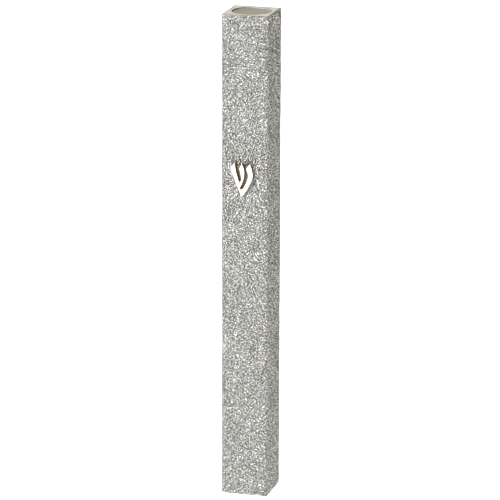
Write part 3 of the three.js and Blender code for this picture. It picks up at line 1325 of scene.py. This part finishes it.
@cache
def flake_tree() -> Tree:
    """Builds the tree that scatters thin six-sided flakes over a surface, tilted and turned by chance.

    Returns:
        The tree.
    """
    wiring, given, result = new_group(
        "standing_flakes",
        "GeometryNodeTree",
        {
            "Surface": (GEOMETRY, None),
            "Spacing": (FLOAT, MM),
            "Radius": (FLOAT, 0.1 * MM),
            "Thickness": (FLOAT, 0.02 * MM),
            "Tilt": (FLOAT, 0.2),
            "Density": (FLOAT, 1.0),
            "Smallest": (FLOAT, 0.5),
            "Seed": (WHOLE, 0),
            "Finish": (FINISH, None),
        },
        {"Geometry": GEOMETRY},
    )
    tilt, seed = given["Tilt"], given["Seed"]
    points = wiring.add(
        "GeometryNodeDistributePointsOnFaces",
        settings={"distribute_method": "POISSON"},
        Mesh=given["Surface"],
        Distance_Min=given["Spacing"],
        Density_Max=given["Density"],
        Seed=seed,
    ).outputs
    flake = wiring.first(
        "GeometryNodeMeshCylinder", Vertices=6, Radius=given["Radius"], Depth=given["Thickness"]
    )
    lean = wiring.first("ShaderNodeCombineXYZ", X=tilt, Y=tilt, Z=FULL_TURN)
    turn = wiring.first(
        "FunctionNodeRandomValue",
        settings={"data_type": "FLOAT_VECTOR"},
        Min=wiring.vector("MULTIPLY", lean, (-1.0, -1.0, 0.0)),
        Max=lean,
        Seed=seed,
    )
    rotation = wiring.first(
        "FunctionNodeRotateRotation",
        settings={"rotation_space": "LOCAL"},
        Rotation=points["Rotation"],
        Rotate_By=wiring.first("FunctionNodeEulerToRotation", turn),
    )
    chances = [
        wiring.add(
            "FunctionNodeRandomValue",
            settings={"data_type": "FLOAT"},
            Min=least,
            Max=1.0,
            Seed=wiring.maths("ADD", seed, apart),
        ).outputs["Value"]
        for least, apart in ((given["Smallest"], SIZE_DRAW), (0.0, PAINTED_REFLECTION_DRAW))
    ]
    copies = wiring.first(
        "GeometryNodeInstanceOnPoints",
        Points=points["Points"],
        Instance=flake,
        Rotation=rotation,
        Scale=chances[0],
    )
    # The second random value is kept for painted reflection, which the flakes' material reads as each
    # flake's tone.
    toned = wiring.first(
        "GeometryNodeStoreNamedAttribute",
        settings={"data_type": "FLOAT", "domain": "INSTANCE"},
        Geometry=copies,
        Name=FLAKE_PAINTED_REFLECTION,
        Value=chances[1],
    )
    return finish_tree(wiring, toned, given["Finish"], result)


@cache
def roll_tree() -> Tree:
    """Builds the tree that rolls a sheet up from a core radius to an outer one, slightly unevenly.

    Returns:
        The tree.
    """
    wiring, given, result = new_group(
        "rolled_sheet",
        "GeometryNodeTree",
        {
            "Start": (GEOMETRY, None),
            "Core Radius": (FLOAT, MM),
            "Outer Radius": (FLOAT, 2 * MM),
            "Turns": (FLOAT, 3.0),
            "Height": (FLOAT, 0.1),
            "Thickness": (FLOAT, 0.1 * MM),
            "Waviness": (FLOAT, 0.0),
            "Steps": (WHOLE, 100),
            "Height Steps": (WHOLE, 10),
            "Finish": (FINISH, None),
        },
        {"Geometry": GEOMETRY},
    )
    maths, core = wiring.maths, given["Core Radius"]
    slab, position, place = unit_slab(wiring, given["Steps"], given["Height Steps"])
    along = maths("ADD", place["X"], 0.5)
    angle = maths("MULTIPLY", maths("MULTIPLY", along, given["Turns"]), FULL_TURN)
    growth = maths("SUBTRACT", given["Outer Radius"], core)
    middle = maths("MULTIPLY_ADD", along, growth, core)
    waves = wiring.vector("MULTIPLY", position, ROLL_WAVES)
    ripple = wiring.first("ShaderNodeTexNoise", Vector=waves, Scale=1.0, Detail=1.0)
    uneven = maths("MULTIPLY", maths("SUBTRACT", ripple, 0.5), given["Waviness"])
    radius = maths("ADD", maths("MULTIPLY_ADD", place["Y"], given["Thickness"], middle), uneven)
    bent = wiring.first(
        "ShaderNodeCombineXYZ",
        maths("MULTIPLY", radius, maths("COSINE", angle)),
        maths("MULTIPLY", radius, maths("SINE", angle)),
        maths("MULTIPLY", place["Z"], given["Height"]),
    )
    shaped = wiring.first("GeometryNodeSetPosition", Geometry=slab, Position=bent)
    outward = wiring.first("GeometryNodeFlipFaces", shaped)
    return finish_tree(wiring, outward, given["Finish"], result)


@dataclass
class Plug:
    """A silicone stopper: dished face, rounded lip, sealing ribs, tapered and hollow inner end."""

    node: str
    face_up: bool
    rib_height: float = 0.4 * MM
    rib_spacing: float = 2.8 * MM
    first_rib: float = 1.8 * MM
    ribs: int = 3
    lip_rounding: float = 0.2 * MM
    lip_width: float = 0.7 * MM
    dish_depth: float = 0.12 * MM
    dish_slope: float = 1.5
    rib_heel: float = 1.6
    lead_in: float = 0.8 * MM
    hollow_radius: float = 2.6 * MM
    hollow_depth: float = 4.5 * MM
    mouth_chamfer: float = 0.2 * MM
    segments: int = 128

    def build(self) -> list[Piece]:
        """Makes the plug where its CAD node is.

        Returns:
            The plug.
        """
        low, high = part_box(self.node)
        centre = (low + high) / 2
        face, inward = (high.z, -1.0) if self.face_up else (low.z, 1.0)
        profile = [
            (radius, face + inward * depth)
            for radius, depth in self.profile((high.x - low.x) / 2, high.z - low.z)
        ]
        shape = turned_shape(profile, centre, self.segments)
        piece = object_from_bmesh(f"{self.node}_moulded", shape)
        soften(piece, math.radians(40))
        piece.data.materials.append(MouldedSilicone().build())
        return [settle(piece, self.node, [self.node])]

    def profile(self, rib_radius: float, length: float) -> list[Span]:
        """Draws the plug's section from the middle of its face to the top of its hollow.

        Args:
            rib_radius: the radius over the ribs.
            length: the plug's length.

        Returns:
            The points as (radius, depth below the face).
        """
        core = rib_radius - self.rib_height
        lip = core + self.rib_height / 2
        rim = lip - self.lip_rounding
        dish, dip = rim - self.lip_width, self.dish_depth
        points = [(0.0, dip), (dish - 2 * self.dish_slope * dip, dip)]
        for share in (0.25, 0.5, 0.75, 1.0):
            depth = dip * (0.5 + 0.5 * math.cos(math.pi * share))
            points.append((dish - dip * self.dish_slope * (1 - share), depth))
        rounding = arc((rim, 0.0), self.lip_rounding, 90, 0, 6)
        points += [(radius, self.lip_rounding - up) for radius, up in rounding]
        points.append((lip, self.first_rib - self.rib_heel * self.rib_height))
        for rib in range(self.ribs):
            points += arc((core, self.first_rib + rib * self.rib_spacing), self.rib_height, -90, 90, 10)
        points.append((core, length - self.lead_in))
        points += arc((core - self.lead_in, length - self.lead_in), self.lead_in, 15, 75, 4)
        hollow, chamfer, roof = self.hollow_radius, self.mouth_chamfer, length - self.hollow_depth
        points += [(core - self.lead_in, length), (hollow + chamfer, length), (hollow, length - chamfer)]
        points.append((hollow, roof))
        for share in (0.25, 0.5, 0.75):
            turn = QUARTER_TURN * share
            points.append((hollow * math.cos(turn), roof - hollow / 2 * math.sin(turn)))
        points.append((0.0, roof - hollow / 2))
        return points


@dataclass
class Letter:
    """The polished letter and the pad behind it."""

    edge_rounding: float = 0.1 * MM
    pad_share: float = 0.88
    pad_drop: float = 1.2 * MM
    pad_thickness: float = 0.3 * MM
    flat_within: float = math.radians(1)
    rounding_steps: int = 3
    front_from: float = 0.5

    def build(self) -> list[Piece]:
        """Makes the letter and its pad.

        Returns:
            The letter and the pad.
        """
        return [
            settle(self.make_letter(), "case", ["shin_emblem"]),
            settle(self.make_pad(), "case", ["emblem_adhesive"]),
        ]

    def make_pad(self) -> Piece:
        """Cuts the pad to the letter's outline, a little inside it, so that it shows in the slots.

        Returns:
            The pad.
        """
        corners = [vertex.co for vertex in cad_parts["shin_emblem"].data.vertices]
        back = max(corner.y for corner in corners)
        flat = [corner.xz for corner in corners]
        outline = [flat[index] for index in convex_hull_2d(flat)]
        low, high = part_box("shin_emblem")
        middle = ((low + high) / 2).xz
        outline = [middle + (point - middle) * self.pad_share for point in outline]
        top = high.z - self.pad_drop
        shape = bmesh.new()
        front = shape.faces.new([shape.verts.new((p.x, back, min(p.y, top))) for p in outline])
        sides = bmesh.ops.extrude_face_region(shape, geom=[front])
        moved = [item for item in sides["geom"] if isinstance(item, bmesh.types.BMVert)]
        bmesh.ops.translate(shape, verts=moved, vec=(0.0, self.pad_thickness, 0.0))
        pad = object_from_bmesh("letter_pad", shape)
        pad.data.materials.append(PAD_ADHESIVE.build())
        return pad

    def make_letter(self) -> Piece:
        """Rounds the front edges of the letter.

        Returns:
            The letter, with its front polished and its sides darkened with painted shade.
        """
        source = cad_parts["shin_emblem"].data
        front = min(vertex.co.y for vertex in source.vertices)
        shape = bmesh.new()
        shape.from_mesh(source)
        bmesh.ops.remove_doubles(shape, verts=shape.verts, dist=DOUBLES)
        bmesh.ops.dissolve_limit(
            shape, angle_limit=self.flat_within, verts=shape.verts, edges=shape.edges
        )
        rim = [
            edge
            for edge in shape.edges
            if all(abs(vertex.co.y - front) < TOUCHING for vertex in edge.verts)
        ]
        bmesh.ops.bevel(
            shape,
            geom=rim,
            offset=self.edge_rounding,
            offset_type="OFFSET",
            segments=self.rounding_steps,
            profile=0.5,
            affect="EDGES",
            clamp_overlap=True,
        )
        for face in shape.faces:
            # The sides get the dark finish that paints their shade.
            face.material_index = 0 if face.normal.y < -self.front_from else 1
        letter = object_from_bmesh("letter_shin", shape)
        soften(letter, math.radians(40))
        letter.data.materials.append(PolishedPlating().build())
        letter.data.materials.append(LETTER_SIDE_SHADE.build())
        return letter


@dataclass
class Scroll:
    """The rolled parchment in its clear sleeve."""

    core_radius: float = 1.7 * MM
    parchment_thickness: float = 0.2 * MM
    sheet_width: float = 120 * MM
    sleeve_turns: float = 1.15
    sleeve_thickness: float = 0.1 * MM
    sleeve_pitch: float = 0.2 * MM
    looseness: float = 0.1 * MM
    waviness: float = 0.1 * MM

    def build(self) -> list[Piece]:
        """Rolls the parchment and the sleeve where their CAD nodes are.

        Returns:
            The parchment and the sleeve.
        """
        low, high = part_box("case_tube")
        axis = (low + high) / 2
        sleeve_start = self.start_of_sleeve(axis)
        walls = self.sleeve_thickness + self.parchment_thickness
        roll_end = sleeve_start - walls / 2 - self.looseness
        turns = self.sheet_width / (math.pi * (self.core_radius + roll_end))
        parchment = self.rolled(
            "parchment_roll",
            "parchment_scroll",
            axis,
            {
                "Core Radius": self.core_radius,
                "Outer Radius": roll_end,
                "Turns": turns,
                "Thickness": self.parchment_thickness,
                "Waviness": self.waviness,
                "Steps": 420,
                "Height Steps": 40,
                "Finish": PlainParchment().build(),
            },
        )
        sleeve = self.rolled(
            "sleeve_roll",
            "scroll_sleeve",
            axis,
            {
                "Core Radius": sleeve_start,
                "Outer Radius": sleeve_start + self.sleeve_pitch * self.sleeve_turns,
                "Turns": self.sleeve_turns,
                "Thickness": self.sleeve_thickness,
                "Waviness": 0.0,
                "Steps": 180,
                "Height Steps": 4,
                "Finish": ClearSleeve().build(),
            },
        )
        return [
            settle(parchment, "scroll", ["parchment_scroll"]),
            settle(sleeve, "scroll", ["scroll_sleeve"]),
        ]

    def start_of_sleeve(self, axis: Vector) -> float:
        """The radius of the middle of the sleeve's inner end, which lies straight to the right."""
        corners = [vertex.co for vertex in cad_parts["scroll_sleeve"].data.vertices]
        return min((corner.xy - axis.xy).length for corner in corners) + self.sleeve_thickness / 2

    def rolled(self, name: str, node: str, axis: Vector, values: dict[str, object]) -> Piece:
        """Rolls one sheet to the height of its CAD node.

        Args:
            name: the piece's name.
            node: the CAD node that it stands for.
            axis: a point on the roll's axis.
            values: the roll's other sizes, by the tree's input names.

        Returns:
            The rolled sheet.
        """
        low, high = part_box(node)
        values["Height"] = high.z - low.z
        piece = through_tree(object_from_mesh(name, bpy.data.meshes.new(name)), roll_tree(), values)
        piece.data.transform(Matrix.Translation((axis.x, axis.y, (low.z + high.z) / 2)))
        soften(piece)
        return piece


@dataclass
class MountTape:
    """The foam strip on the back, between its two adhesive skins."""

    corner_radius: float = 0.8 * MM
    skin: float = 0.08 * MM
    bulge: float = 0.12 * MM
    seat: float = 0.2 * MM
    corner_steps: int = 6
    bulge_steps: int = 5
    bulge_fullness: float = 0.7

    def build(self) -> list[Piece]:
        """Makes the strip as one closed slab with a foam edge and tacky faces.

        Returns:
            The strip.
        """
        low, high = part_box("mount_tape")
        shape = bmesh.new()
        rings = []
        for depth, inset in self.section(high.y - low.y + self.seat):
            outline = self.outline(low, high, inset)
            rings.append([shape.verts.new((p.x, high.y - depth, p.y)) for p in outline])
        for index, (first, second) in enumerate(zip(rings, rings[1:])):
            on_skin = index in (0, len(rings) - 2)
            bridge(shape, first, second, 1 if on_skin else 0)
        for ring in (rings[0], rings[-1]):
            face = shape.faces.new(ring)
            face.material_index = 1
        tape = object_from_bmesh("foam_strip", shape)
        soften(tape)
        tape.data.materials.append(FoamCore().build())
        tape.data.materials.append(TackySkin().build())
        return [settle(tape, "case", ["mount_tape"])]

    def section(self, thickness: float) -> list[Span]:
        """Draws the strip's edge: flush skins and foam that bulges between them.

        Args:
            thickness: the strip's thickness.

        Returns:
            The points as (depth, inset).
        """
        foam = thickness - 2 * self.skin
        points = [(0.0, self.bulge), (self.skin, self.bulge)]
        for step in range(1, self.bulge_steps):
            share = step / self.bulge_steps
            inset = self.bulge * (1 - math.sin(math.pi * share) ** self.bulge_fullness)
            points.append((self.skin + foam * share, inset))
        return [*points, (thickness - self.skin, self.bulge), (thickness, self.bulge)]

    def outline(self, low: Vector, high: Vector, inset: float) -> list[Vector]:
        """Draws the strip's rounded outline.

        Args:
            low: the lowest corner of the strip's CAD node.
            high: its highest corner.
            inset: how far the outline is drawn in.

        Returns:
            The points in width and height.
        """
        centre = Vector(((low.x + high.x) / 2, (low.z + high.z) / 2))
        half_width = (high.x - low.x) / 2 - inset
        half_height = (high.z - low.z) / 2 - inset
        radius = self.corner_radius - inset
        points = []
        for corner, (side, end) in enumerate(((1, 1), (1, -1), (-1, -1), (-1, 1))):
            middle = centre + Vector((side * (half_width - radius), end * (half_height - radius)))
            start = QUARTER_TURN * (1 - corner)
            for step in range(self.corner_steps + 1):
                angle = start - QUARTER_TURN * step / self.corner_steps
                points.append(middle + radius * Vector((math.cos(angle), math.sin(angle))))
        return points


def main() -> None:
    """Builds the studio and every sub-assembly."""
    logging.basicConfig(level=logging.INFO, format="%(message)s")
    Studio().build()
    assemblies = [
        CaseTube(),
        GlitterSkin(),
        Plug("top_plug", face_up=True),
        Plug("bottom_plug", face_up=False),
        Letter(),
        Scroll(),
        MountTape(),
    ]
    for assembly in assemblies:
        for piece in assembly.build():
            LOG.info("%s: %d faces", piece.name, len(piece.data.polygons))


if __name__ == "__main__":
    main()
